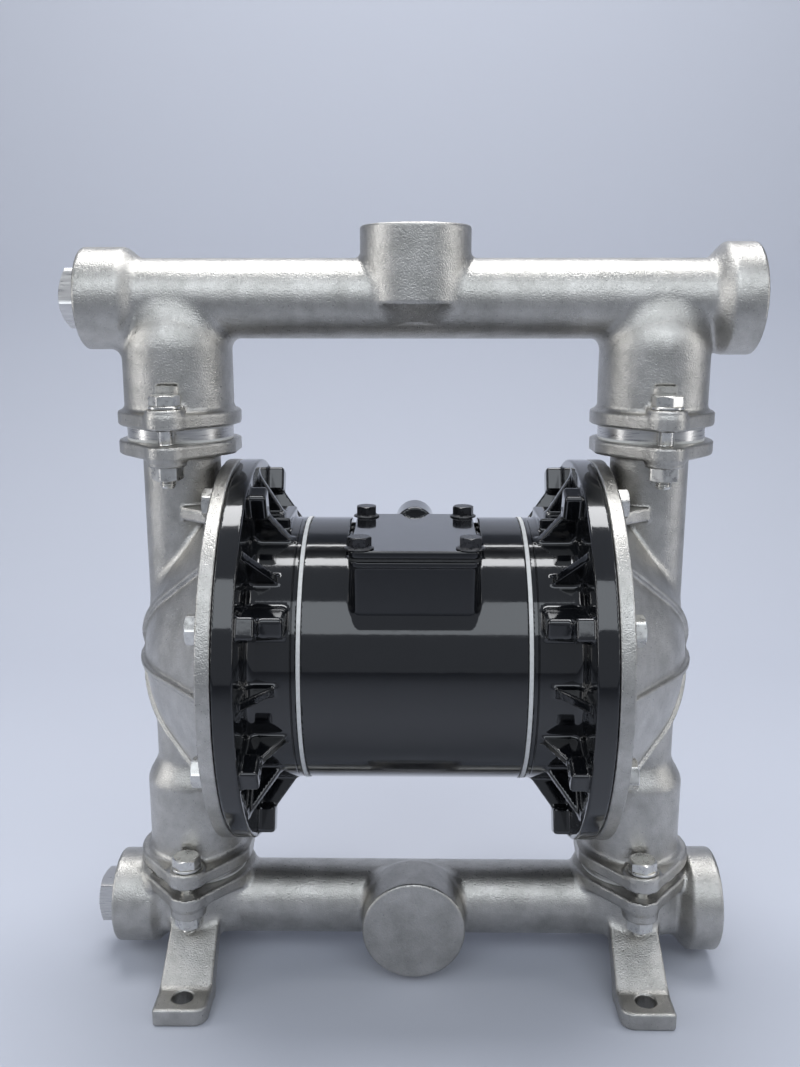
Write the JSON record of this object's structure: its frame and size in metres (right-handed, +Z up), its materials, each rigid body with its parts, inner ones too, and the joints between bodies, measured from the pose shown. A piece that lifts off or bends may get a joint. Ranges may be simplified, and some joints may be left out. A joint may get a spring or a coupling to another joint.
{
  "type": "air operated diaphragm pump",
  "caption": "Air operated double diaphragm pump: cast stainless manifolds with ball valve columns bolted round a black air section with a bolted valve cover.",
  "frame": {"origin": "on the floor, at the middle of the four foot holes", "axes": "+Z up, +X along the diaphragm shaft towards the open fluid ports, -Y the front, where the valve box stands"},
  "size_m": [0.4365, 0.2532, 0.5045],
  "materials": {
    "cast_stainless": "bead blasted satin",
    "black_enamel": "gloss black enamel",
    "white_gasket": "satin white",
    "dark_gasket": "matte",
    "turned_stainless": "turned",
    "copper_washer": "soft metal",
    "bright_fasteners": "machined",
    "black_fasteners": "black oxide",
    "white_fluoropolymer": "smooth",
    "diaphragm_rubber": "moulded",
    "cast_aluminium": "machined",
    "bronze": "machined"
  },
  "bodies": {
    "housing": {"air_chamber_left": "black_enamel", "air_chamber_right": "black_enamel", "centre_block": "black_enamel", "clamp_bolts": "bright_fasteners", "column_bolts": "bright_fasteners", "column_nuts": "bright_fasteners", "column_washers": "bright_fasteners", "core_gasket_left": "white_gasket", "core_gasket_right": "white_gasket", "core_screws": "bright_fasteners", "cover_bolts": "black_fasteners", "cover_gasket": "dark_gasket", "fluid_cap_left": "cast_stainless", "fluid_cap_right": "cast_stainless", "inlet_manifold": "cast_stainless", "inlet_plug": "turned_stainless", "inlet_seat_left": "turned_stainless", "inlet_seat_right": "turned_stainless", "outlet_manifold": "cast_stainless", "outlet_plug": "turned_stainless", "outlet_seat_left": "turned_stainless", "outlet_seat_right": "turned_stainless", "plug_washers": "copper_washer", "seat_seals": "white_fluoropolymer", "shaft_bush_left": "bronze", "shaft_bush_right": "bronze", "shaft_seal_left": "diaphragm_rubber", "shaft_seal_right": "diaphragm_rubber", "valve_cover": "black_enamel", "valve_end_caps": "cast_aluminium", "valve_sleeve": "cast_aluminium"},
    "shaft_assembly": {"main_shaft": "turned_stainless", "inner_plate_left": "cast_aluminium", "inner_plate_right": "cast_aluminium", "outer_plate_left": "cast_aluminium", "outer_plate_right": "cast_aluminium", "shaft_nuts": "bright_fasteners", "diaphragm_left": "diaphragm_rubber", "diaphragm_right": "diaphragm_rubber"},
    "pilot_rod": {"pilot_rod": "turned_stainless"},
    "valve_spool": {"valve_spool": "turned_stainless"},
    "outlet_ball_left": {"outlet_ball_left": "white_fluoropolymer"},
    "outlet_ball_right": {"outlet_ball_right": "white_fluoropolymer"},
    "inlet_ball_left": {"inlet_ball_left": "white_fluoropolymer"},
    "inlet_ball_right": {"inlet_ball_right": "white_fluoropolymer"}
  },
  "joints": [
    {"name": "shaft_stroke", "type": "slide", "parent": "housing", "child": "shaft_assembly", "axis": [1, 0, 0], "range_m": [-0.012, 0.012], "deforming": ["diaphragm_left", "diaphragm_right"]},
    {"name": "pilot_travel", "type": "slide", "parent": "housing", "child": "pilot_rod", "axis": [1, 0, 0], "range_m": [-0.004, 0.004]},
    {"name": "spool_shift", "type": "slide", "parent": "housing", "child": "valve_spool", "axis": [0, 1, 0], "range_m": [-0.005, 0.005]},
    {"name": "outlet_lift_left", "type": "slide", "parent": "housing", "child": "outlet_ball_left", "axis": [0, 0, 1], "range_m": [0, 0.01]},
    {"name": "outlet_lift_right", "type": "slide", "parent": "housing", "child": "outlet_ball_right", "axis": [0, 0, 1], "range_m": [0, 0.01]},
    {"name": "inlet_lift_left", "type": "slide", "parent": "housing", "child": "inlet_ball_left", "axis": [0, 0, 1], "range_m": [0, 0.01]},
    {"name": "inlet_lift_right", "type": "slide", "parent": "housing", "child": "inlet_ball_right", "axis": [0, 0, 1], "range_m": [0, 0.01]}
  ],
  "couplings": [
    {"joint": "pilot_travel", "follows": "shaft_stroke", "ratio": 0.33333}
  ]
}
